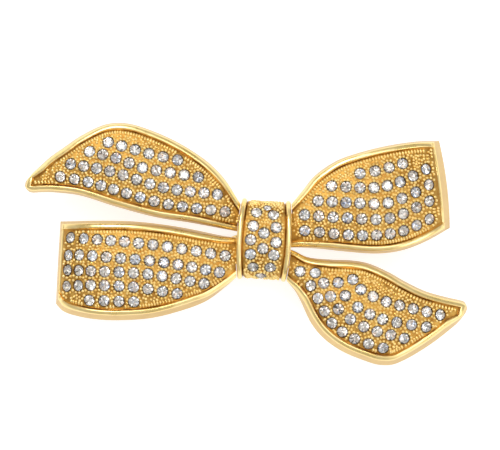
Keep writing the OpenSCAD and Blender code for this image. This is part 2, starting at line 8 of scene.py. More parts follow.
import bpy
import numpy as np
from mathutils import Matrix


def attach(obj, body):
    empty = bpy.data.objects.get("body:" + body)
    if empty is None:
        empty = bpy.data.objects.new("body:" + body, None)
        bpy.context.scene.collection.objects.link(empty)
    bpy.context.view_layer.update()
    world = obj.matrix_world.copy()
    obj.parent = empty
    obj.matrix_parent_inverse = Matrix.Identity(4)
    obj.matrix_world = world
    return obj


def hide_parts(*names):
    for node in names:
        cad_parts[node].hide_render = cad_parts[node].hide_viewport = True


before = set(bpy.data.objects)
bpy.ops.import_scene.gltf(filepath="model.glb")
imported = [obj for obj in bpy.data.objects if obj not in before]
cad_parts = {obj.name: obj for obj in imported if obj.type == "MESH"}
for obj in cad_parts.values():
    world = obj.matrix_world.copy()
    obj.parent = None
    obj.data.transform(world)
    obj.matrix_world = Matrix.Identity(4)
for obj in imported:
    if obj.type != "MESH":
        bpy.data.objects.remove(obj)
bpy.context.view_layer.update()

MM = 0.001
SEED = 20

# ---- Driving sizes, the same as the CAD's ----
STONE_D = 2.1
SMALL_STONE_D = 1.5
SHELL_T = 1.5
WALL_DEPTH = 2.0
ROOT_WALL_DEPTH = 1.45
ROOT_GAP = 0.03
WALL_RUN = 8
CROWN_RUN = 10
BEND_RUN = 6
END_RUN = 6
CROWN_W = 10
LIP_W = 0.9
LIP_SLOPE_W = 0.3
RIM_W = 1.05
RIM_H = 0.45
KNOT_R = 7.7
KNOT_H = 6.4
KNOT_TAPER = 0.5
KNOT_SHOULDER = 0.08
KNOT_HALF_W = 5.2
KNOT_LEAN = math.radians(3.7)
CLASP_ANGLE = math.radians(21)
CLASP_SHIFT = 0.4
KNOT_SHELL_T = 2.4
PLATE_TOP = 9.4
KNOT_Z = PLATE_TOP - 0.3
GIRDLE_SINK = 0.08
RIVET_X = 18.5
BOSS_R = 1.9
BOSS_H = 4
KNOT_BOSS_R = 3
KNOT_BOSS_H = 4.6


# ---- Curves and small helpers ----

def curve(points, x):
    """Height at x of the smooth curve through the points."""
    p = np.asarray(points, float)
    px, py = p[:, 0], p[:, 1]
    n = len(px) - 1
    before = np.maximum(np.arange(n + 1) - 1, 0)
    after = np.minimum(np.arange(n + 1) + 1, n)
    slopes = (py[after] - py[before]) / (px[after] - px[before])
    i = np.clip(np.searchsorted(px, x, side="right") - 1, 0, n - 1)
    step = px[i + 1] - px[i]
    t = (x - px[i]) / step
    a, b = py[i], py[i + 1]
    ma, mb = slopes[i] * step, slopes[i + 1] * step
    return a + t * (ma + t * (3 * (b - a) - 2 * ma - mb + t * (2 * (a - b) + ma + mb)))


def mix(a, b, t):
    return a + (b - a) * t


def turned(x, y, angle):
    """The point x, y turned about the origin."""
    c, s = math.cos(angle), math.sin(angle)
    return x * c - y * s, x * s + y * c


def unit(v):
    return v / np.linalg.norm(v, axis=-1, keepdims=True)


def knot_half(y):
    """Half width of the knot band at height y of its own frame."""
    return KNOT_HALF_W - KNOT_TAPER * (y / KNOT_R) ** 2


# Height of the polished rim against the distance in from the wall's top, with the thin groove
# at its foot
RIM_PROFILE = [
    [0, 0.08], [0.07, 0.27], [0.17, 0.38], [0.34, 0.44], [0.54, 0.45], [0.72, 0.42], [0.86, 0.33],
    [0.96, 0.16], [1.03, -0.03], [1.09, -0.13], [1.16, -0.17], [1.25, -0.1], [1.36, 0], [60, 0],
]
# Distances in from the wall's top at which the rim has a line of points
RIM_STOPS = np.array([0, 0.06, 0.12, 0.19, 0.28, 0.4, 0.54, 0.66, 0.77, 0.86, 0.93, 0.99, 1.05,
                      1.1, 1.16, 1.23, 1.3, 1.4])
# A loop has no rim across its end: the field ends at a fine groove and a polished bend
END_PROFILE = [
    [0, -0.16], [0.08, -0.06], [0.19, 0], [0.29, 0], [0.37, -0.09], [0.44, -0.12],
    [0.53, -0.06], [0.66, 0], [60, 0],
]
END_BEND = 0.34
# How far below the field the wall of a loop's end starts
END_DROP = 0.1
# Share of a tip's radius at which its rounding stops
TIP_STOP = 0.97


class Ribbon:
    """One cast ribbon piece of the bow.

    Its low and high edges and its spine, the edges' height, are curves along u. Reach is where it
    starts and ends, side is the knot's side it leaves, root_y where its two edges meet the knot,
    and flare how far its three walls spread. A tail has a tip's radius, and a loop may bulge.
    """

    def __init__(self, name, direction, low, high, spine, crown, reach, side, root_y, flare, rows,
                 tip=0, bulge=0, boss_x=0):
        self.name = name
        self.direction = math.radians(direction)
        self.low_points = low
        self.high_points = high
        self.spine = spine
        self.crown = crown
        self.reach = reach
        self.side = side
        self.root_y = root_y
        self.flare = flare
        self.tip = tip
        self.bulge = bulge
        self.rows = rows
        self.boss_x = boss_x

    def from_root(self, u, length):
        """How far u has come from the root over the given length, from 0 to 1."""
        return np.clip((u - self.reach[0]) / length, 0, 1)

    def width(self, u):
        """Width of the ribbon at u, rounded off at a tail's tip."""
        w = curve(self.high_points, u) - curve(self.low_points, u)
        if self.tip:
            q = np.clip((u - self.reach[1] + self.tip) / self.tip, 0, TIP_STOP)
            w = w * np.sqrt(1 - q * q)
        return w

    def low(self, u):
        middle = (curve(self.low_points, u) + curve(self.high_points, u)) / 2
        return middle - self.width(u) / 2

    def high(self, u):
        return self.low(u) + self.width(u)

    def field(self, u, v):
        """Height of the field at u, v."""
        low = curve(self.low_points, u)
        high = curve(self.high_points, u)
        t = np.clip((v - low) / (high - low), 0, 1)
        full = mix(self.crown[0], self.crown[1], self.from_root(u, CROWN_RUN))
        crown = full * np.minimum(1, (high - low) / CROWN_W)
        return curve(self.spine, u) + crown * (1 - (2 * t - 1) ** 2)

    def normal(self, u, v):
        """Unit normal of the field at u, v, in the ribbon's own frame."""
        step = 0.2
        du = (self.field(u + step, v) - self.field(u - step, v)) / (2 * step)
        dv = (self.field(u, v + step) - self.field(u, v - step)) / (2 * step)
        return unit(np.stack([-du, -dv, np.ones_like(du)], -1))

    def wall_foot(self, u):
        """Foot of the outer wall below the edge's field."""
        return mix(ROOT_WALL_DEPTH, WALL_DEPTH, self.from_root(u, WALL_RUN))

    def root_shift(self, u, t):
        """Shift that bends the first rows onto the knot's curved side."""
        start = self.reach[0]
        fade = (1 - self.from_root(u, BEND_RUN)) ** 2
        y = mix(self.root_y[0], self.root_y[1], t)
        x = self.side * (knot_half(y) + ROOT_GAP)
        root_u, root_v = turned(x, y, -KNOT_LEAN - self.direction)
        base_v = mix(self.low(start), self.high(start), t)
        return fade * (root_u - start), fade * (root_v - base_v)

    def end_shift(self, u, t):
        """Shift that bulges the last rows outwards."""
        fade = np.clip(1 - (self.reach[1] - u) / END_RUN, 0, 1)
        return self.bulge * fade ** 2 * 4 * t * (1 - t)

    def place(self, u, t):
        """The point of the ribbon's plan at u, and t of the way across."""
        shift_u, shift_v = self.root_shift(u, t)
        v = mix(self.low(u), self.high(u), t) + shift_v
        return u + shift_u + self.end_shift(u, t), v

    def slope(self, points, u):
        """Slope of an edge's curve at u."""
        step = 0.1
        return (curve(points, u + step) - curve(points, u - step)) / (2 * step)

    def stretch(self, points, u):
        """Distance along v that a unit square to an edge takes at u."""
        return np.sqrt(1 + self.slope(points, u) ** 2)

    def share(self, u, points, d, reach):
        """Share of the width that the distance d from an edge takes."""
        k = self.stretch(points, u)
        return d * k / np.maximum(self.width(u), reach * k)

    def to_world(self, p):
        """Points of the ribbon's own frame, in the clip's frame."""
        x, y = turned(p[..., 0], p[..., 1], self.direction)
        return np.stack([x, y, p[..., 2]], -1)


TAIL_UPPER_LEFT = Ribbon(
    name="tail_upper_left",
    direction=167.3,
    low=[
        [4, -4.6], [6.3, -6.55], [10, -9.8], [14, -12.3], [20, -14.5], [26, -15.7], [30.5, -15.9],
        [34.3, -14.8], [38.3, -11.75], [41, -8.9], [43.2, -6.5], [44.6, -4.55], [45.7, -3],
        [46.8, -1.7],
    ],
    high=[
        [4, -0.5], [14, -0.15], [21, 0.3], [29, 0], [36, -0.55], [41, -0.05], [43.5, 0.5],
        [45, 0.9], [46.8, 0.9],
    ],
    spine=[
        [5, 10.9], [12, 12.3], [20, 13.2], [28, 13.2], [36, 12], [42, 10.4], [46.8, 8.8],
    ],
    crown=[2.2, 1.6],
    reach=[5.2, 46.8],
    side=-1,
    root_y=[6.5, 1.3],
    flare=[0.25, 0.35, 0.3],
    rows=[
        [[0, 8.4, -3.6], [4, 19.2, -2.6], [7, 27.4, -2.9], [10, 35, -3.4], [12, 40.4, -3.2]],
        [[0, 10.5, -6.5], [4, 20.8, -5.5], [8, 31.4, -6.3], [11, 39, -6]],
        [[0, 14.8, -8.9], [4, 25.5, -8.3], [6, 30.8, -9], [8, 36, -9.1]],
        [[0, 19.3, -11.2], [2, 24.9, -11.2], [5, 32.9, -11.6]],
    ],
    tip=1.4,
)
LOOP_LOWER_LEFT = Ribbon(
    name="loop_lower_left",
    direction=176.8,
    low=[
        [4, -0.1], [8, -0.4], [14, -1.3], [19, -1.85], [25, -2.15], [31, -1.95], [39, -1.35],
    ],
    high=[
        [4.1, 7.4], [6.3, 9.2], [10.3, 12.2], [14.3, 14.05], [20.3, 15.95], [26.3, 16.75],
        [31, 16.85], [35, 16.4], [37.6, 15.65], [39, 14.4],
    ],
    spine=[
        [4, 10.9], [12, 12.4], [20, 13.4], [28, 13], [32.5, 11.9], [35, 10.7], [37.3, 9],
        [39, 7.2],
    ],
    crown=[2.4, 1.5],
    reach=[4.6, 39],
    side=-1,
    root_y=[0.15, -7.4],
    flare=[0.5, 0.95, 0.4],
    rows=[
        [[0, 7.2, 3.4], [4, 18.2, 2.3], [7, 26.4, 1.8], [11, 36.8, 1.6]],
        [[0, 8.1, 6.6], [4, 18.7, 5.3], [8, 29.7, 4.9], [10, 34.9, 4.8], [11, 37, 5]],
        [[0, 10.9, 8.9], [4, 21.6, 7.7], [8, 32.5, 7.7], [10, 37, 7.8]],
        [[0, 15.9, 11.1], [3, 24.2, 10.3], [6, 32.4, 10.4], [8, 37, 10.9]],
        [[0, 24, 13.1], [3, 32.5, 13.3]],
    ],
    boss_x=-RIVET_X,
)
LOOP_UPPER_RIGHT = Ribbon(
    name="loop_upper_right",
    direction=7,
    low=[
        [4.5, -2.05], [6.2, -2.2], [10, -2.9], [15, -4.05], [20, -5.05], [23.5, -5.3],
        [27, -4.97], [31, -3.87], [35.5, -2.05],
    ],
    high=[
        [4.5, 5.6], [6.2, 6.8], [8.2, 8.4], [11.2, 11.05], [15.2, 13.15], [19.2, 14.15],
        [25, 14.9], [31, 15.1], [35.5, 14.7],
    ],
    spine=[
        [4, 10.9], [12, 12.4], [19, 13.2], [25, 13], [29, 12], [32, 10.8], [34, 9.5], [35.5, 8.1],
    ],
    crown=[2.4, 1.6],
    reach=[5.3, 35.5],
    side=1,
    root_y=[-1.1, 7.2],
    flare=[0.45, 0.3, 1.1],
    rows=[
        [[0, 7.9, 0.8], [3, 16, -1], [5, 21.3, -1.7], [7, 26.5, -1.5], [9, 31.7, 0.1]],
        [[0, 8.2, 3.8], [3, 16.2, 2.2], [6, 24.2, 1.2], [9, 32.1, 3.5]],
        [[0, 11.1, 6.1], [3, 18.9, 4.7], [5, 24.2, 4.1], [7, 29.7, 5.5], [8, 32.4, 6.6]],
        [[0, 14, 8.6], [3, 21.9, 7.3], [5, 27, 7.8], [7, 32.2, 9.6]],
        [[0, 19.6, 10.3], [1, 22.5, 10.4], [3, 27.9, 11.2]],
    ],
    bulge=0.42,
    boss_x=RIVET_X,
)
TAIL_LOWER_RIGHT = Ribbon(
    name="tail_lower_right",
    direction=-17,
    low=[
        [4, -5.8], [6.2, -6.75], [8.2, -7.65], [10.2, -9.3], [13.2, -12.5], [16.2, -14.5],
        [20.2, -15.85], [25, -16.35], [28.2, -16.25], [31.2, -14.95], [36.2, -9.7], [40.9, -3.05],
    ],
    high=[
        [4, -0.1], [6.2, -0.2], [9, -0.65], [13.2, 0.15], [17, 1.15], [20.2, 1.55], [24.2, 1.12],
        [28.2, 0.25], [32.2, -0.33], [36.2, -0.27], [39, -0.05], [40.9, 0],
    ],
    spine=[
        [4, 10.9], [12, 12.4], [19, 13.3], [26, 12.9], [33, 11.3], [40.9, 8.85],
    ],
    crown=[2.2, 2],
    reach=[5.7, 40.9],
    side=1,
    root_y=[-7.4, -1.5],
    flare=[0.9, 0.35, 0.4],
    rows=[
        [[0, 8.3, -3.7], [1, 11, -5.7], [2, 13, -7.6], [4, 16.9, -11.3], [6, 21.9, -12.9],
         [8, 27.6, -13]],
        [[0, 11.1, -3.1], [1, 13.2, -4.5], [3, 17.3, -8.4], [5, 22.9, -10.2], [8, 30.9, -10.1]],
        [[0, 15.8, -3.6], [1, 17.8, -5.6], [2, 20.7, -7], [4, 25.9, -7.8], [7, 34.3, -6.8]],
        [[0, 18.3, -2.2], [1, 20.3, -3.6], [3, 25.6, -4.4], [7, 36.2, -3.8]],
    ],
    tip=1.3,
)
RIBBONS = [TAIL_UPPER_LEFT, LOOP_LOWER_LEFT, LOOP_UPPER_RIGHT, TAIL_LOWER_RIGHT]
# On the knot a key stone is [number, x, degrees over the arch]
KNOT_ROWS = [
    [[0, -1.75, 41], [1, -2.2, 19.7], [2, -2.55, -1], [3, -2.4, -22.5], [4, -1.75, -42.5]],
    [[0, -0.1, 10.3], [1, -0.1, -13], [2, -0.15, -62.5]],
    [[0, 1.5, 38.8], [1, 2.15, 19.6], [2, 2.3, -2.6], [3, 2.05, -21.4], [4, 1.5, -41.3]],
]
KNOT_SMALL_STONE = [0.25, 51.8]


def stones_of(row):
    """The stones of one row: key stones are given by number, and a smooth curve joins them."""
    n = np.arange(row[-1][0] + 1)
    first = curve([[k[0], k[1]] for k in row], n)
    second = curve([[k[0], k[2]] for k in row], n)
    return np.stack([first, second], -1)


# ---- Materials ----

def new_material(name):
    m = bpy.data.materials.new(name)
    m.use_nodes = True
    m.node_tree.nodes.clear()
    return m


def node(m, kind, **values):
    """A new shader node, with its named inputs set."""
    n = m.node_tree.nodes.new(kind)
    for key, value in values.items():
        n.inputs[key.replace("_", " ")].default_value = value
    return n


def link(m, a, out, b, to):
    m.node_tree.links.new(a.outputs[out], b.inputs[to])


def ramp(m, source, out, stops):
    """A colour ramp on a value: stops are (place, colour)."""
    n = m.node_tree.nodes.new("ShaderNodeValToRGB")
    while len(n.color_ramp.elements) < len(stops):
        n.color_ramp.elements.new(0.5)
    for e, (place, colour) in zip(n.color_ramp.elements, stops):
        e.position = place
        e.color = (*colour, 1)
    link(m, source, out, n, "Fac")
    return n


def metal(name, light, dark, rough, noise_scale, bump_scale, bump_height, wear=0.5, milk=0.0):
    """Plated metal: colour and polish vary over the surface, with a fine relief.

    Bump_height is in mm, wear is the softness of the change of colour, and milk is the metal's
    share of cloudy white.
    """
    m = new_material(name)
    shader = node(m, "ShaderNodeBsdfPrincipled", Metallic=1.0 - milk)
    out = node(m, "ShaderNodeOutputMaterial")
    place = node(m, "ShaderNodeTexCoord")
    cloud = node(m, "ShaderNodeTexNoise", Scale=noise_scale, Detail=6.0, Roughness=0.6)
    link(m, place, "Object", cloud, "Vector")
    colour = ramp(m, cloud, "Fac", [(0.5 - wear * 0.3, dark), (0.5 + wear * 0.3, light)])
    link(m, colour, "Color", shader, "Base Color")
    polish = node(m, "ShaderNodeMapRange", From_Min=0.3, From_Max=0.7,
                  To_Min=rough[0], To_Max=rough[1])
    link(m, cloud, "Fac", polish, "Value")
    link(m, polish, "Result", shader, "Roughness")
    grain = node(m, "ShaderNodeTexNoise", Scale=bump_scale, Detail=4.0)
    link(m, place, "Object", grain, "Vector")
    bump = node(m, "ShaderNodeBump", Strength=1.0, Distance=bump_height * MM)
    link(m, grain, "Fac", bump, "Height")
    link(m, bump, "Normal", shader, "Normal")
    link(m, shader, "BSDF", out, "Surface")
    return m


def stone_glass(name, tint):
    """Clear cut glass: faint clouding and surface rub."""
    m = new_material(name)
    shader = node(m, "ShaderNodeBsdfPrincipled", Transmission_Weight=1.0, IOR=1.56)
    out = node(m, "ShaderNodeOutputMaterial")
    place = node(m, "ShaderNodeTexCoord")
    cloud = node(m, "ShaderNodeTexNoise", Scale=900.0, Detail=2.0)
    link(m, place, "Object", cloud, "Vector")
    colour = ramp(m, cloud, "Fac", [(0.35, tuple(0.93 * c for c in tint)), (0.65, tint)])
    link(m, colour, "Color", shader, "Base Color")
    rub = node(m, "ShaderNodeMapRange", From_Min=0.4, From_Max=0.8, To_Min=0.0, To_Max=0.06)
    link(m, cloud, "Fac", rub, "Value")
    link(m, rub, "Result", shader, "Roughness")
    link(m, shader, "BSDF", out, "Surface")
    return m


MATERIALS = {
    "polished": metal("gold_polished", (0.96, 0.76, 0.36), (0.87, 0.64, 0.24), (0.22, 0.38),
                      260, 1500, 0.012),
    # Field under the beads: the gold darkened to orange-brown, painted shade in the crevices
    # between the beads
    "field": metal("gold_granulated_painted_shade", (0.66, 0.4, 0.1), (0.4, 0.19, 0.035), (0.4, 0.58),
                   700, 2600, 0.09),
    # Seat under each stone: dark brown, partly real tarnish and glue, partly painted shade in the
    # hollow
    "seat": metal("seat_tarnish_and_painted_shade", (0.3, 0.13, 0.04), (0.1, 0.04, 0.012), (0.4, 0.6),
                  900, 2600, 0.04),
    "back": metal("gold_cast_back", (0.92, 0.66, 0.26), (0.76, 0.48, 0.14), (0.34, 0.52),
                  180, 900, 0.05),
    # Groove at the rim's foot: gold that darkens to near black, painted shade in the crease
    "groove": metal("gold_groove_painted_shade", (0.8, 0.45, 0.11), (0.14, 0.05, 0.015), (0.25, 0.45),
                    110, 2600, 0.03, wear=0.3),
    # Side walls: a darker copy of the rim's gold, painted shade on the walls, with a rougher satin
    # polish
    "wall": metal("gold_satin_wall_painted_shade", (0.72, 0.52, 0.23), (0.6, 0.4, 0.15), (0.34, 0.48),
                  200, 1500, 0.02),
    "bead": metal("gold_bead", (1.0, 0.8, 0.36), (0.9, 0.64, 0.21), (0.24, 0.38),
                  600, 3000, 0.012),
    "strip": metal("gold_plated_strip", (0.95, 0.74, 0.36), (0.82, 0.58, 0.22), (0.2, 0.36),
                   120, 1300, 0.012),
    "pin": metal("gold_plated_pin", (0.95, 0.8, 0.48), (0.8, 0.6, 0.3), (0.12, 0.26),
                 300, 2000, 0.008),
}
# Light colour, dark colour and milk of each foil behind the stones; the grey foil is a painted dark
# reflection, and the rose and blue foils are painted flashes of dispersed light
FOIL_TINTS = {
    "foil_silver": ((0.98, 0.96, 0.92), (0.86, 0.84, 0.8), 0.4),
    "foil_grey_painted_reflection": ((0.42, 0.4, 0.38), (0.24, 0.22, 0.21), 0.2),
    "foil_rose_painted_flash": ((0.98, 0.82, 0.7), (0.9, 0.68, 0.56), 0.3),
    "foil_blue_painted_flash": ((0.74, 0.84, 0.98), (0.56, 0.66, 0.9), 0.3),
}
FOILS = [
    metal(name, light, dark, (0.03, 0.12), 900, 2600, 0.003, milk=milk)
    for name, (light, dark, milk) in FOIL_TINTS.items()
]
# Shares of the foils on the main facets and on the small ones under the girdle
FOIL_SHARES = {
    "main": [0.74, 0.12, 0.08, 0.06],
    "small": [0.55, 0.25, 0.14, 0.06],
}
GLASS = stone_glass("rhinestone_glass", (1.0, 1.0, 1.0))
# Girdle ring: partly real glue, partly painted shade in the gap between the stone and its seat
GLUE_AND_SHADE = metal("girdle_glue_and_shade", (0.2, 0.07, 0.05), (0.08, 0.025, 0.02), (0.4, 0.6),
             900, 2600, 0.01, milk=0.5)


# ---- Mesh helpers ----

def make_object(name, points, faces, materials, material_index=None, smooth=True, sharp=None):
    """A mesh object from points in mm, with its faces' material numbers."""
    mesh = bpy.data.meshes.new(name)
    mesh.from_pydata((np.asarray(points) * MM).tolist(), [], [list(f) for f in faces])
    for m in materials:
        mesh.materials.append(m)
    if material_index is not None:
        mesh.polygons.foreach_set("material_index", np.asarray(material_index, np.int32))
    mesh.polygons.foreach_set("use_smooth", np.full(len(mesh.polygons), smooth))
    mesh.validate()
    mesh.update()
    if sharp is not None:
        mesh.set_sharp_from_angle(angle=math.radians(sharp))
    o = bpy.data.objects.new(name, mesh)
    bpy.context.scene.collection.objects.link(o)
    return o


def grid_quads(rows, columns, start=0, flip=False):
    """Faces of a grid of points numbered row by row."""
    i, j = np.meshgrid(np.arange(rows - 1), np.arange(columns - 1), indexing="ij")
    a = (start + i * columns + j).ravel()
    quads = np.stack([a, a + 1, a + columns + 1, a + columns], -1)
    return quads[:, ::-1] if flip else quads


def closing_quads(rows, columns, other):
    """Faces that close two grids of one size along their four edges: the second starts at other."""
    i = np.arange(rows - 1)
    j = np.arange(columns - 1)
    low = i * columns
    high = low + columns - 1
    first = j
    last = (rows - 1) * columns + j
    return np.concatenate([
        np.stack([low, low + columns, other + low + columns, other + low], -1),
        np.stack([high + columns, high, other + high, other + high + columns], -1),
        np.stack([first + 1, first, other + first, other + first + 1], -1),
        np.stack([last, last + 1, other + last + 1, other + last], -1),
    ])


def ball(rings=5, sides=8):
    """Points and faces of a unit ball."""
    points = [(0, 0, 1)]
    for i in range(1, rings):
        a = math.pi * i / rings
        for j in range(sides):
            b = 2 * math.pi * j / sides
            points.append((math.sin(a) * math.cos(b), math.sin(a) * math.sin(b), math.cos(a)))
    points.append((0, 0, -1))
    end = len(points) - 1
    faces = [(0, 1 + j, 1 + (j + 1) % sides) for j in range(sides)]
    for i in range(rings - 2):
        for j in range(sides):
            a, b = 1 + i * sides + j, 1 + i * sides + (j + 1) % sides
            faces.append((a, a + sides, b + sides, b))
    base = 1 + (rings - 2) * sides
    faces += [(base + j, end, base + (j + 1) % sides) for j in range(sides)]
    return np.array(points), faces


def copies(points, faces, centres, along, across, up, sizes):
    """Many copies of one small mesh, each with its own axes and sizes."""
    local = points[None] * sizes[:, None]
    placed = (centres[:, None] + local[..., 0:1] * along[:, None]
              + local[..., 1:2] * across[:, None] + local[..., 2:3] * up[:, None])
    count = len(points)
    all_faces = []
    for k in range(len(centres)):
        base = k * count
        all_faces += [tuple(base + i for i in f) for f in faces]
    return placed.reshape(-1, 3), all_faces


def frame_of(up, hint):
    """Axes square to up, the first nearest to hint."""
    along = hint - up * (hint * up).sum(-1, keepdims=True)
    along = unit(along)
    return along, np.cross(up, along)


# ---- Seats, sunk into a grid of points ----

SEAT_R = STONE_D / 2 + 0.08
# Depth of a seat at its middle and at its edge
SEAT_DEPTH = (1.04, 0.3)
# Points this near to a seat's edge move onto it
SEAT_SNAP = 0.085
# Width and height of the lip raised round a seat
SEAT_LIP_W = 0.3
SEAT_LIP_H = 0.05
# How far inside its edge the wall of a seat stands
SEAT_DRAFT = 0.16
# Points further than this from a seat are left alone
SEAT_SEARCH = 1.2


def sink_seats(points, centres, normals, radii):
    """Opens a round seat under each stone: points near its edge move onto it, those inside sink."""
    inside = np.zeros(len(points), bool)
    for c, n, r in zip(centres, normals, radii):
        near = np.flatnonzero(np.abs(points - c).max(-1) < r + SEAT_SEARCH)
        d = points[near] - c
        height = d @ n
        flat = d - height[:, None] * n
        reach = np.linalg.norm(flat, axis=-1)
        level = np.abs(height) < SEAT_SEARCH
        near, flat, reach = near[level], flat[level], reach[level]
        sunk = reach < r - SEAT_SNAP
        edge = np.abs(reach - r) <= SEAT_SNAP
        lip = (reach > r + SEAT_SNAP) & (reach < r + SEAT_LIP_W)
        points[near[edge]] += flat[edge] * (r / reach[edge] - 1)[:, None]
        points[near[edge | lip]] += n * SEAT_LIP_H
        squeeze = np.minimum(1, (r - SEAT_DRAFT) / np.maximum(reach[sunk], 1e-6))
        depth = mix(*SEAT_DEPTH, reach[sunk] / r)
        points[near[sunk]] += flat[sunk] * (squeeze - 1)[:, None] - n * depth[:, None]
        inside[near[sunk]] = True
    return inside


# ---- The cast ribbons ----

FIELD_COLUMNS = 96
ROW_STEP = 0.17
# Shares of a wall's spread at which it has a line of points
WALL_STOPS = np.array([0, 0.3, 0.6, 0.85])
# Stands for the distance in from the rim over the whole field
FAR = 50.0
# Least width left between the two rims, and between the back's two lips and rims
FIELD_ROOM = 0.3
BACK_ROOM = 0.6


def rim_stops(flare):
    """Distances in from the foot of the wall, over the wall and the rim."""
    return np.concatenate([flare * WALL_STOPS, flare + RIM_STOPS])


def ribbon_grid(r):
    """The ribbon's outer skin: u and t of its points, how far each lies in from the wall's top and
    from the end wall's top, and how far down the wall."""
    start, end = r.reach
    a, b, c = r.flare
    end_stops = rim_stops(c)
    plain = np.arange(start, end - end_stops[-1], ROW_STEP)
    rows = np.concatenate([plain, end - end_stops[::-1]])
    u = rows[:, None]
    flare_in = r.from_root(u, WALL_RUN)
    ease = np.concatenate([WALL_STOPS, np.ones(len(RIM_STOPS))])
    rest = np.concatenate([np.zeros(len(WALL_STOPS)), RIM_STOPS])
    low_d = a * flare_in * ease + rest
    high_d = b * flare_in * ease + rest
    reach = a + b + 2 * RIM_STOPS[-1] + FIELD_ROOM
    low_t = r.share(u, r.low_points, low_d, reach)
    high_t = 1 - r.share(u, r.high_points, high_d, reach)
    k = np.arange(1, FIELD_COLUMNS) / FIELD_COLUMNS
    field_t = mix(low_t[:, -1:], high_t[:, -1:], k)
    t = np.concatenate([low_t, field_t, high_t[:, ::-1]], 1)
    u = np.broadcast_to(u, t.shape)
    far = np.full((len(rows), FIELD_COLUMNS - 1), FAR)
    stops = np.broadcast_to(rest, low_d.shape)
    inward = np.concatenate([stops, far, stops[:, ::-1]], 1)
    end_in = np.maximum(end - c - u, 0)
    if r.tip:
        inward = np.minimum(inward, end_in)
    wall = np.broadcast_to(1 - ease, low_d.shape)
    side_wall = np.concatenate([wall, 0 * far, wall[:, ::-1]], 1)
    down = np.maximum(side_wall, np.clip((u - end + c) / c, 0, 1))
    return u, t, inward, end_in, down


# Material numbers of a casting's surfaces
SURFACES = ("polished", "field", "seat", "back", "groove", "wall")
POLISHED, FIELD, SEAT, BACK, GROOVE, WALL = range(6)


# Distances in from the wall's top at which the rim's groove and the field start
GROOVE_START = 1.0
FIELD_START = 1.24


def surface_kind(inward):
    """Polished rim, then the groove at its foot, then the field."""
    inner = np.where(inward < FIELD_START, GROOVE, FIELD)
    return np.where(inward < GROOVE_START, POLISHED, inner)


def ribbon_skin(r):
    """Points of the outer skin, the material at each, and whether it is on the wall."""
    u, t, inward, end_in, down = ribbon_grid(r)
    pu, pv = r.place(u, t)
    rise = curve(RIM_PROFILE, inward)
    kind = surface_kind(inward)
    wall_top = RIM_PROFILE[0][1]
    if not r.tip:
        rise = rise + curve(END_PROFILE, end_in)
        kind[end_in < END_BEND] = POLISHED
        wall_top = wall_top * (end_in > 0) - END_DROP * (end_in == 0)
    rise = np.where(down > 0, mix(wall_top, -r.wall_foot(u), down), rise)
    z = r.field(pu, pv) + rise
    return np.stack([pu, pv, z], -1), kind, down > 0


def ribbon_back(r, shape):
    """The hollow back, on a grid of the skin's size: a flat lip, then the field's underside."""
    rows, columns = shape
    start, end = r.reach[0], r.reach[1] - LIP_W
    n = rows - 1
    u = np.concatenate([mix(start, end - LIP_SLOPE_W, np.arange(n) / (n - 1)), [end]])[:, None]
    reach = r.flare[0] + r.flare[1] + 2 * RIM_W + BACK_ROOM
    low_t = r.share(u, r.low_points, LIP_W, reach)
    high_t = 1 - r.share(u, r.high_points, LIP_W, reach)
    low_in = low_t + r.share(u, r.low_points, LIP_SLOPE_W, reach)
    high_in = high_t - r.share(u, r.high_points, LIP_SLOPE_W, reach)
    inner = mix(low_in, high_in, np.arange(columns - 2) / (columns - 3))
    t = np.concatenate([low_t, inner, high_t], 1)
    u = np.broadcast_to(u, t.shape)
    lip = np.zeros(t.shape, bool)
    lip[:, 0] = lip[:, -1] = lip[-1] = True
    pu, pv = r.place(u, t)
    z = r.field(pu, pv) - np.where(lip, r.wall_foot(u), SHELL_T)
    return np.stack([pu, pv, z], -1)


def in_clasp(x, y):
    """The clasp's place x, y in the clip's frame."""
    return turned(x, y + CLASP_SHIFT, CLASP_ANGLE)


def post(x, y, low, high, radius, sides=48):
    """A turned post with a small chamfer at its foot."""
    chamfer = 0.15
    rings = [(low, radius - chamfer), (low + chamfer, radius), (high, radius)]
    a = 2 * np.pi * np.arange(sides) / sides
    points = [(x, y, low)]
    for z, ring_r in rings:
        points += [(x + ring_r * math.cos(b), y + ring_r * math.sin(b), z) for b in a]
    points.append((x, y, high))
    end = len(points) - 1
    faces = [(0, 1 + (j + 1) % sides, 1 + j) for j in range(sides)]
    for i in range(len(rings) - 1):
        for j in range(sides):
            p, q = 1 + i * sides + j, 1 + i * sides + (j + 1) % sides
            faces.append((p, q, q + sides, p + sides))
    base = 1 + (len(rings) - 1) * sides
    faces += [(end, base + j, base + (j + 1) % sides) for j in range(sides)]
    return np.array(points), faces


def stone_places(r, row):
    """Centres and normals of a row's stones, in the ribbon's own frame."""
    p = stones_of(row)
    z = r.field(p[:, 0], p[:, 1])
    centre = np.stack([p[:, 0], p[:, 1], z], -1)
    normal = r.normal(p[:, 0], p[:, 1])
    return centre - GIRDLE_SINK * normal, normal


def casting_faces(kind, inside, side, wall=None):
    """Faces and material numbers of a casting: its skin, its back and the sides between them.

    Both grids have kind's shape. Kind and inside are the skin's materials and its sunk points.
    """
    rows, columns = kind.shape
    quads = grid_quads(rows, columns)
    # Sunk faces of the seats take the seat's dark colour: tarnish and painted shade
    index = np.where(inside[quads].any(-1), SEAT, kind.ravel()[quads].min(-1))
    if wall is not None:
        index[wall.ravel()[quads].any(-1)] = side
    back = grid_quads(rows, columns, rows * columns, flip=True)
    close = closing_quads(rows, columns, rows * columns)
    faces = [tuple(f) for f in np.concatenate([quads, back, close]).tolist()]
    return faces, np.concatenate([index, np.full(len(back), BACK), np.full(len(close), side)])


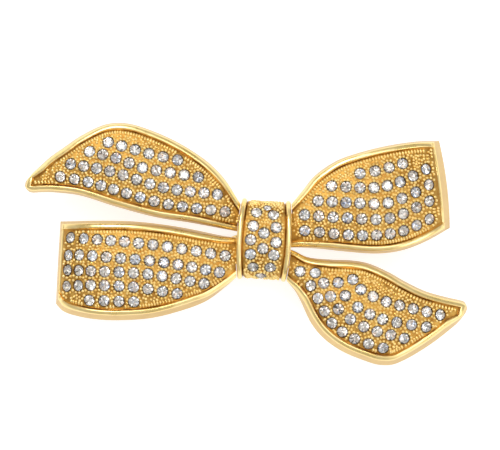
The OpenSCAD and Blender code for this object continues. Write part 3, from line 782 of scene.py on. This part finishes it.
def make_casting(name, cad_node, points, faces, index, boss=None):
    """A casting of the bow in place of its CAD node, with the post behind it when one is given."""
    if boss:
        base = len(points)
        points = np.concatenate([points, boss[0]])
        faces = faces + [tuple(base + i for i in f) for f in boss[1]]
        index = np.concatenate([index, np.full(len(boss[1]), BACK)])
    skins = [MATERIALS[n] for n in SURFACES]
    o = make_object(name, points, faces, skins, index, sharp=50)
    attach(o, "bow")
    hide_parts(cad_node)


def make_ribbon(r):
    skin, kind, wall = ribbon_skin(r)
    back = ribbon_back(r, kind.shape)
    points = skin.reshape(-1, 3)
    found = [stone_places(r, row) for row in r.rows]
    centres = np.concatenate([f[0] for f in found])
    normals = np.concatenate([f[1] for f in found])
    inside = sink_seats(points, centres, normals, np.full(len(centres), SEAT_R))
    faces, index = casting_faces(kind, inside, WALL, wall)
    points = r.to_world(np.concatenate([points, back.reshape(-1, 3)]))
    boss = None
    if r.boss_x:
        boss = post(*in_clasp(r.boss_x, 0), PLATE_TOP, PLATE_TOP + BOSS_H, BOSS_R)
    make_casting(r.name + "_casting", r.name, points, faces, index, boss)


# ---- Granulation ----

BEAD_PITCH = 0.58
BEAD_R = (0.26, 0.33)
# How far a bead stands above the field, as a share of its radius
BEAD_RISE = 0.05
# Beads stand in a ring round each stone, and on a loose hexagonal lattice elsewhere
RING_CLEARANCE = 0.2
RING_COUNT = 12
RING_GAP = 0.46
BEAD_GAP = 0.47
LATTICE_ROW = 0.87
LATTICE_INSET = (0.5, 0.4)
LATTICE_REACH = 18
KNOT_LATTICE_REACH = 5
LATTICE_SPREAD = 0.05
BARE_SHARE = 0.03
# Clear distance of a lattice bead from a seat, the rim, a loop's end and the root
SEAT_CLEARANCE = 0.16
RIM_CLEARANCE = RIM_STOPS[-1] + 0.1
END_CLEARANCE = 0.85
ROOT_CLEARANCE = 0.45
ROOT_CURVE = 0.1
# Ridges side by side along the rim's foot: pitch, half sizes, and how far they sink
RIDGE_PITCH = 0.6
RIDGE_SIZE = [0.44, 0.26, 0.34]
RIDGE_SINK = 0.05
# Distance of the ridges in from the wall's top, and their clear distances
RIDGE_IN = 1.62
RIDGE_SEAT_CLEARANCE = 0.28
RIDGE_BEAD_GAP = 0.5
COMB_ROOT = 2.0
COMB_END = 1.9
COMB_ROOM = 4.4
COMB_CORNERS = (2.2, 2.0)
COMB_STEP = 0.02


def lattice(u_range, v_range, rng):
    """A loose hexagonal lattice of places."""
    us = np.arange(*u_range, BEAD_PITCH * LATTICE_ROW)
    vs = np.arange(*v_range, BEAD_PITCH)
    u, v = np.meshgrid(us, vs, indexing="ij")
    v = v + (np.arange(len(us)) % 2)[:, None] * BEAD_PITCH / 2
    p = np.stack([u.ravel(), v.ravel()], -1)
    return p + rng.normal(0, LATTICE_SPREAD, p.shape)


def thin_out(p, gap):
    """Drops each place that lies too near one already kept."""
    kept = []
    cells = {}
    for q in p:
        i, j = int(q[0] // gap), int(q[1] // gap)
        near = [o for a in (i - 1, i, i + 1) for b in (j - 1, j, j + 1)
                for o in cells.get((a, b), ())]
        if all((q[0] - o[0]) ** 2 + (q[1] - o[1]) ** 2 > gap * gap for o in near):
            cells.setdefault((i, j), []).append(q)
            kept.append(q)
    return np.array(kept)


def rings_round(centres, radii, rng):
    """Places of the beads that stand round each stone."""
    found = []
    for c, radius in zip(centres, radii):
        a = 2 * np.pi * (np.arange(RING_COUNT) + rng.random()) / RING_COUNT
        found.append(np.stack([c[0] + radius * np.cos(a), c[1] + radius * np.sin(a)], -1))
    return np.concatenate(found)


def clear_of(p, centres, radii):
    """Whether each place lies outside every circle."""
    gap = np.linalg.norm(p[:, None] - centres[None], axis=-1) - radii
    return gap.min(1) > 0


def on_field(r, p):
    """Places on the ribbon's field and the normals there, in the clip's frame."""
    u, v = p[:, 0], p[:, 1]
    foot = r.to_world(np.stack([u, v, r.field(u, v)], -1))
    return foot, unit(r.to_world(r.normal(u, v)))


def bead_axes(foot, up, rng):
    """Centres, axes and sizes of round beads that stand on the field."""
    size = rng.uniform(*BEAD_R, len(foot))
    along, across = frame_of(up, np.tile([1.0, 0.0, 0.0], (len(foot), 1)))
    centres = foot + up * (BEAD_RISE * size)[:, None]
    return centres, along, across, up, np.repeat(size[:, None], 3, 1)


def add_grains(name, axes):
    """One object for all the grains of a casting."""
    points, faces = copies(*ball(), *axes)
    o = make_object(name, points, faces, [MATERIALS["bead"]])
    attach(o, "bow")


def bead_places(r, stones, rng):
    """Places of the beads: a ring round every stone, and a lattice over the rest of the field."""
    start, end = r.reach
    rings = rings_round(stones, np.full(len(stones), SEAT_R + RING_CLEARANCE), rng)
    along = (start + LATTICE_INSET[0], end - LATTICE_INSET[1])
    p = lattice(along, (-LATTICE_REACH, LATTICE_REACH), rng)
    p = np.concatenate([thin_out(rings, RING_GAP), p[rng.random(len(p)) > BARE_SHARE]])
    u, v = p[:, 0], p[:, 1]
    low, high = r.low(u), r.high(u)
    keep = v - low > (r.flare[0] + RIM_CLEARANCE) * r.stretch(r.low_points, u)
    keep &= high - v > (r.flare[1] + RIM_CLEARANCE) * r.stretch(r.high_points, u)
    keep &= end - u > r.flare[2] + (RIM_CLEARANCE if r.tip else END_CLEARANCE)
    keep &= u > start + ROOT_CLEARANCE + np.abs(v - (low + high) / 2) * ROOT_CURVE
    keep &= clear_of(p, stones, np.full(len(stones), SEAT_R + SEAT_CLEARANCE))
    return thin_out(p[keep], BEAD_GAP)


def comb_places(r):
    """Places of the ridges along the foot of the rim, and the way each points."""
    places, ways = [], []
    start, end = r.reach
    edges = [(r.low_points, r.low, r.flare[0], 1), (r.high_points, r.high, r.flare[1], -1)]
    for points, edge, flare, inward in edges:
        u = np.arange(start + COMB_ROOT, end - r.flare[2] - COMB_END, COMB_STEP)
        run = np.concatenate([[0], np.cumsum(np.hypot(np.diff(u), np.diff(edge(u))))])
        at = np.interp(np.arange(0, run[-1], RIDGE_PITCH), run, u)
        k = r.stretch(points, at)
        d = flare * r.from_root(at, WALL_RUN) + RIDGE_IN
        way = np.stack([-r.slope(points, at) / k * inward, 1 / k * inward], -1)
        fits = r.width(at) > (r.flare[0] + r.flare[1] + COMB_ROOM) * k
        places.append((np.stack([at, edge(at)], -1) + way * d[:, None])[fits])
        ways.append(way[fits])
    if not r.tip:
        low, high = float(r.low(end)), float(r.high(end))
        v = np.arange(low + COMB_CORNERS[0], high - COMB_CORNERS[1], RIDGE_PITCH)
        places.append(np.stack([np.full(len(v), end - r.flare[2] - RIDGE_IN), v], -1))
        ways.append(np.tile([1.0, 0.0], (len(v), 1)))
    return np.concatenate(places), np.concatenate(ways)


def make_grains(r, rng):
    """Ridges along the rim's foot, and beads over the rest of the field."""
    stones = np.concatenate([stones_of(row) for row in r.rows])
    p, way = comb_places(r)
    clear = clear_of(p, stones, np.full(len(stones), SEAT_R + RIDGE_SEAT_CLEARANCE))
    p, way = p[clear], way[clear]
    foot, up = on_field(r, p)
    hint = r.to_world(np.stack([way[:, 0], way[:, 1], np.zeros(len(way))], -1))
    sizes = np.tile(RIDGE_SIZE, (len(p), 1))
    ridges = (foot - up * RIDGE_SINK, *frame_of(up, hint), up, sizes)
    places = bead_places(r, stones, rng)
    # Beads that would lie in a ridge are left out
    gap = np.linalg.norm(places[:, None] - p[None], axis=-1).min(1)
    beads = bead_axes(*on_field(r, places[gap > RIDGE_BEAD_GAP]), rng)
    add_grains(r.name + "_grains", [np.concatenate(pair) for pair in zip(beads, ridges)])


# ---- Stones ----

CROWN_H = 0.4
GIRDLE_H = 0.08
# Sizes of a stone as shares of its girdle's radius
TABLE = 0.56
STAR_R = 0.8
PAVILION = 0.9
LOWER_R = 0.45
# Shares of the crown's height and of the pavilion's depth at which the inner rings lie
STAR_H = 0.56
LOWER_H = 0.52
# First point of each ring of a stone below its table, and its lowest point
STAR, GIRDLE_TOP, GIRDLE, LOWER, CULET = 8, 16, 32, 48, 56
# A stone's size in its seat, and how unevenly the stones sit
STONE_FIT = 0.96
STONE_TILT = 0.035


def chaton():
    """A cut stone of girdle radius 1, and the kind of each facet.

    Table, star and kite facets are glass; below them are the girdle's side, dark with glue and
    painted shade, and the pavilion's small and main facets.
    """
    def ring(radius, z, count, turn):
        a = 2 * np.pi * (np.arange(count) + turn) / count
        return [(radius * math.cos(b), radius * math.sin(b), z) for b in a]

    scale = 2 / STONE_D
    girdle = GIRDLE_H * scale
    top = (GIRDLE_H + CROWN_H) * scale
    points = ring(TABLE, top, 8, 0) + ring(STAR_R, mix(girdle, top, STAR_H), 8, 0.5)
    points += ring(1.0, girdle, 16, 0) + ring(1.0, 0, 16, 0)
    points += ring(LOWER_R, -PAVILION * LOWER_H, 8, 0.5) + [(0, 0, -PAVILION)]
    faces = [tuple(range(8))]
    for k in range(8):
        n = (k + 1) % 8
        star = STAR + k
        a, b, c = (GIRDLE_TOP + (2 * k + i) % 16 for i in range(3))
        faces += [(k, star, n), (k, a, star), (star, c, n), (star, a, b), (star, b, c)]
    kinds = ["glass"] * len(faces)
    for k in range(16):
        n = (k + 1) % 16
        faces.append((GIRDLE_TOP + k, GIRDLE + k, GIRDLE + n, GIRDLE_TOP + n))
        kinds.append("glue")
    for k in range(8):
        low = LOWER + k
        before = LOWER + (k - 1) % 8
        a, b, c = (GIRDLE + (2 * k + i) % 16 for i in range(3))
        faces += [(a, low, b), (b, low, c), (a, before, CULET), (a, CULET, low)]
        kinds += ["small", "small", "main", "main"]
    return np.array(points), faces, kinds


def make_stones(name, centres, normals, diameters, rng):
    """The stones of one CAD row: clear glass above the girdle, mirror foil below, partly tinted as
    painted reflection.
    """
    points, faces, kinds = chaton()
    turn = rng.uniform(0, 2 * np.pi, len(centres))
    hint = np.stack([np.cos(turn), np.sin(turn), np.zeros(len(turn))], -1)
    up = unit(normals + rng.normal(0, STONE_TILT, normals.shape))
    along, across = frame_of(up, hint)
    size = np.asarray(diameters)[:, None] / 2 * STONE_FIT
    sizes = np.repeat(size, 3, 1)
    placed, all_faces = copies(points, faces, centres, along, across, up, sizes)
    # The materials are the glass, then the foils, then the girdle's glue and painted shade
    index = np.zeros((len(centres), len(faces)), int)
    for k, kind in enumerate(kinds):
        if kind == "glue":
            index[:, k] = 1 + len(FOILS)
        elif kind in FOIL_SHARES:
            index[:, k] = 1 + rng.choice(len(FOILS), len(centres), p=FOIL_SHARES[kind])
    skins = [GLASS, *FOILS, GLUE_AND_SHADE]
    o = make_object(name + "_cut", placed, all_faces, skins, index.ravel(), smooth=False)
    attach(o, "bow")
    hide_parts(name)


# ---- Knot band ----

def arch(angle, inset):
    """y and z of the knot's arch at an angle from its top, set in from the rim's top."""
    grown = 1 + KNOT_SHOULDER * np.sin(2 * angle) ** 2
    return grown * (KNOT_R - inset) * np.sin(angle), grown * (KNOT_H - inset) * np.cos(angle)


def knot_world(x, angle, inset):
    """A point of the knot from its place across the band, its angle over the arch and its inset."""
    y, z = arch(angle, inset)
    wx, wy = turned(x, y, -KNOT_LEAN)
    return np.stack([wx, wy, KNOT_Z + z], -1)


def knot_normal(angle):
    """Normal of the knot's field at an angle over the arch."""
    step = math.radians(1)
    y0, z0 = arch(angle - step, RIM_H)
    y1, z1 = arch(angle + step, RIM_H)
    tilt = np.arctan2(z0 - z1, y1 - y0)
    wx, wy = turned(np.zeros_like(tilt), np.sin(tilt), -KNOT_LEAN)
    return np.stack([wx, wy, np.cos(tilt)], -1)


# Height of the knot's rim and field against the distance in from its side
KNOT_PROFILE = [
    [0, -1.2], [0.03, -0.6], [0.09, -0.3], [0.2, -0.09], [0.38, 0], [0.62, 0], [0.84, -0.08],
    [0.98, -0.25], [1.07, -0.48], [1.15, -0.62], [1.25, -0.55], [1.38, -0.45], [60, -0.45],
]
# Distances in from its side at which the knot's rim has a line of points
KNOT_STOPS = np.array([0, 0.02, 0.05, 0.1, 0.16, 0.22, 0.31, 0.4, 0.51, 0.62, 0.73, 0.84, 0.92,
                       1, 1.06, 1.12, 1.18, 1.26, 1.34, 1.42])
KNOT_COLUMNS = 48
KNOT_LINES = 140
# Half the angle over the arch that its grains cover, and its lines for measuring the arc
KNOT_GRAIN_ANGLE = 84
KNOT_ARC_LINES = 337


def knot_stones():
    """Centre, normal and diameter of each of the knot's stones, by CAD node."""
    found = {}
    rows = {f"knot_stones_{i + 1}": (stones_of(row), STONE_D) for i, row in enumerate(KNOT_ROWS)}
    rows["knot_small_stone"] = (np.array([KNOT_SMALL_STONE], float), SMALL_STONE_D)
    for name, (p, d) in rows.items():
        angle = np.radians(p[:, 1])
        normal = knot_normal(angle)
        centre = knot_world(p[:, 0], angle, RIM_H) - GIRDLE_SINK * normal
        found[name] = (centre, normal, np.full(len(p), d))
    return found


def make_knot(stones, rng):
    base_angle = math.acos((PLATE_TOP - KNOT_Z) / KNOT_H)
    angle = np.linspace(base_angle, -base_angle, KNOT_LINES)[:, None]
    half = knot_half(arch(angle, 0)[0])
    left = -half + KNOT_STOPS
    right = half - KNOT_STOPS[::-1]
    inner = mix(left[:, -1:], right[:, :1], np.arange(1, KNOT_COLUMNS) / KNOT_COLUMNS)
    x = np.concatenate([left, inner, right], 1)
    inward = half - np.abs(x)
    points = knot_world(x, angle, -curve(KNOT_PROFILE, inward)).reshape(-1, 3)
    back = knot_world(x, angle + 0 * x, KNOT_SHELL_T)
    centres, normals, diameters = (np.concatenate(part) for part in zip(*stones.values()))
    radii = diameters / 2 + SEAT_R - STONE_D / 2
    inside = sink_seats(points, centres, normals, radii)
    faces, index = casting_faces(surface_kind(inward), inside, POLISHED)
    points = np.concatenate([points, back.reshape(-1, 3)])
    boss = post(0, 0, PLATE_TOP, PLATE_TOP + KNOT_BOSS_H, KNOT_BOSS_R)
    make_casting("knot_casting", "knot_band", points, faces, index, boss)
    make_knot_grains(radii, rng)


def make_knot_grains(radii, rng):
    """Grains on the knot: places are worked out flat, as across the band and along its arc."""
    steps = np.radians(np.linspace(-KNOT_GRAIN_ANGLE, KNOT_GRAIN_ANGLE, KNOT_ARC_LINES))
    y, z = arch(steps, RIM_H)
    run = np.concatenate([[0], np.cumsum(np.hypot(np.diff(y), np.diff(z)))])
    places = np.concatenate([stones_of(row) for row in KNOT_ROWS] + [[KNOT_SMALL_STONE]])
    places[:, 1] = np.interp(np.radians(places[:, 1]), steps, run)
    rings = rings_round(places, radii + RING_CLEARANCE, rng)
    loose = lattice((0, run[-1]), (-KNOT_LATTICE_REACH, KNOT_LATTICE_REACH), rng)
    p = np.concatenate([thin_out(rings, RING_GAP), loose[:, ::-1]])
    keep = np.abs(p[:, 0]) < knot_half(np.interp(p[:, 1], run, y)) - RIDGE_IN
    keep &= (p[:, 1] > 0) & (p[:, 1] < run[-1])
    keep &= clear_of(p, places, radii + SEAT_CLEARANCE)
    p = thin_out(p[keep], BEAD_GAP)
    angle = np.interp(p[:, 1], run, steps)
    foot = knot_world(p[:, 0], angle, RIM_H)
    add_grains("knot_grains", bead_axes(foot, knot_normal(angle), rng))


# ---- Clasp: the CAD's own nodes with their finish ----

def finish_clasp():
    finishes = {
        "strip": ["base_plate", "clasp_arm", "tension_bar", "catch_prong_upper",
                  "catch_prong_lower"],
        "pin": ["hinge_pin", "tension_bar_pin", "catch_pin", "rivet_left", "rivet_right"],
    }
    for finish, names in finishes.items():
        for name in names:
            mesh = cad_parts[name].data
            mesh.materials.clear()
            mesh.materials.append(MATERIALS[finish])


# ---- Floor, light and camera ----

def make_stage():
    """A white floor that glows a little, as a lit paper sweep does."""
    m = new_material("floor_white")
    shader = node(m, "ShaderNodeBsdfPrincipled", Base_Color=(0.45, 0.45, 0.45, 1), Roughness=0.6,
                  Emission_Color=(1, 1, 1, 1), Emission_Strength=0.75)
    out = node(m, "ShaderNodeOutputMaterial")
    link(m, shader, "BSDF", out, "Surface")
    size = 600
    corners = [(-size, -size, 0), (size, -size, 0), (size, size, 0), (-size, size, 0)]
    floor = make_object("floor", corners, [(0, 1, 2, 3)], [m])


def area_light(name, place, size, power):
    """A white area light that faces the origin."""
    light = bpy.data.lights.new(name, "AREA")
    light.shape = "RECTANGLE"
    light.size, light.size_y = size
    light.energy = power
    o = bpy.data.objects.new(name, light)
    bpy.context.scene.collection.objects.link(o)
    o.location = place
    way = -np.array(place, float)
    yaw = math.atan2(way[1], way[0])
    tilt = math.atan2(math.hypot(way[0], way[1]), -way[2])
    o.rotation_euler = (0, -tilt, yaw)
    o.visible_camera = False


def make_lights():
    world = bpy.data.worlds.new("studio")
    bpy.context.scene.world = world
    world.use_nodes = True
    tree = world.node_tree
    background = tree.nodes["Background"]
    # A tent that is brightest overhead
    way = tree.nodes.new("ShaderNodeTexCoord")
    split = tree.nodes.new("ShaderNodeSeparateXYZ")
    fade = tree.nodes.new("ShaderNodeMapRange")
    fade.inputs["From Min"].default_value = 0.1
    fade.inputs["From Max"].default_value = 0.95
    fade.inputs["To Min"].default_value = 0.45
    fade.inputs["To Max"].default_value = 0.72
    tree.links.new(way.outputs["Generated"], split.inputs["Vector"])
    tree.links.new(split.outputs["Z"], fade.inputs["Value"])
    tree.links.new(fade.outputs["Result"], background.inputs["Strength"])
    background.inputs["Color"].default_value = (1, 1, 1, 1)
    area_light("key", (-0.3, 0.4, 0.6), (0.3, 0.3), 2.6)
    area_light("top", (0.12, 0.1, 0.7), (0.22, 0.22), 0.9)
    area_light("fill", (0.5, -0.35, 0.35), (0.2, 0.4), 1.1)
    bpy.context.scene.view_settings.view_transform = "Standard"


def make_camera():
    """A long lens straight above the clip."""
    camera = bpy.data.cameras.new("camera")
    o = bpy.data.objects.new("camera", camera)
    bpy.context.scene.collection.objects.link(o)
    distance = 1.2
    picture_width = 0.095
    middle = (-0.00266, 0.00285, 0.012)
    camera.sensor_width = 36
    camera.lens = camera.sensor_width * distance / picture_width
    camera.clip_end = 10
    o.location = (middle[0], middle[1], middle[2] + distance)
    bpy.context.scene.camera = o


make_camera()
make_stage()
make_lights()
rng = np.random.default_rng(SEED)
for ribbon in RIBBONS:
    make_ribbon(ribbon)
    make_grains(ribbon, rng)
    for number, stone_row in enumerate(ribbon.rows):
        c, n = stone_places(ribbon, stone_row)
        row_name = f"{ribbon.name}_stones_{number + 1}"
        make_stones(row_name, ribbon.to_world(c), ribbon.to_world(n), np.full(len(c), STONE_D), rng)
band_stones = knot_stones()
make_knot(band_stones, rng)
for row_name, (c, n, d) in band_stones.items():
    make_stones(row_name, c, n, d, rng)
finish_clasp()
